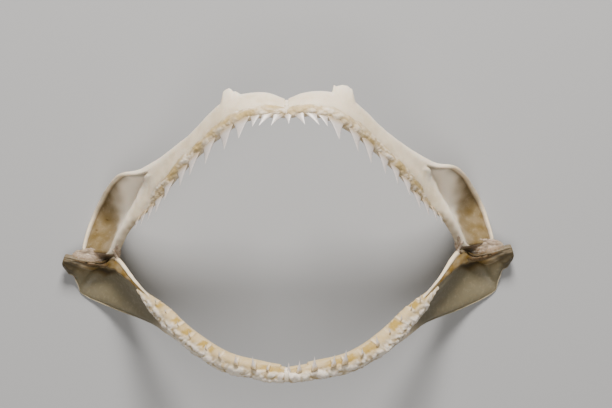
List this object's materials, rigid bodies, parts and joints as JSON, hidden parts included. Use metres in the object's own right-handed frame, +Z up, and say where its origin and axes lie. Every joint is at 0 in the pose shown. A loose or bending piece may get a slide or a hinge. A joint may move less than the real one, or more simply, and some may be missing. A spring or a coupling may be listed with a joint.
{
  "type": "shark jaw",
  "caption": "Dried jaws of a requiem shark, spread open and lying on their back, with gum, teeth and joint ligaments.",
  "frame": {"origin": "on the table, under the middle of the jaws' box", "axes": "+X to the shark's left side, +Y from the lower jaw to the upper jaw, +Z up, out of the open mouth"},
  "size_m": [0.2402, 0.1493, 0.0938],
  "materials": {
    "cartilage": "dried calcified cartilage, ivory, satin",
    "gum": "dried gum and fibrous tissue, matt, with glossy teeth",
    "ligament": "dried ligament, wrinkled, amber brown, satin"
  },
  "bodies": {
    "root": {"upper_cartilage_left": "cartilage", "upper_cartilage_right": "cartilage", "lower_cartilage_left": "cartilage", "lower_cartilage_right": "cartilage", "upper_gum_left": "gum", "upper_gum_right": "gum", "lower_gum_left": "gum", "lower_gum_right": "gum", "upper_symphysis": "gum", "lower_symphysis": "gum", "jaw_joint_left": "ligament", "jaw_joint_right": "ligament"}
  },
  "joints": []
}
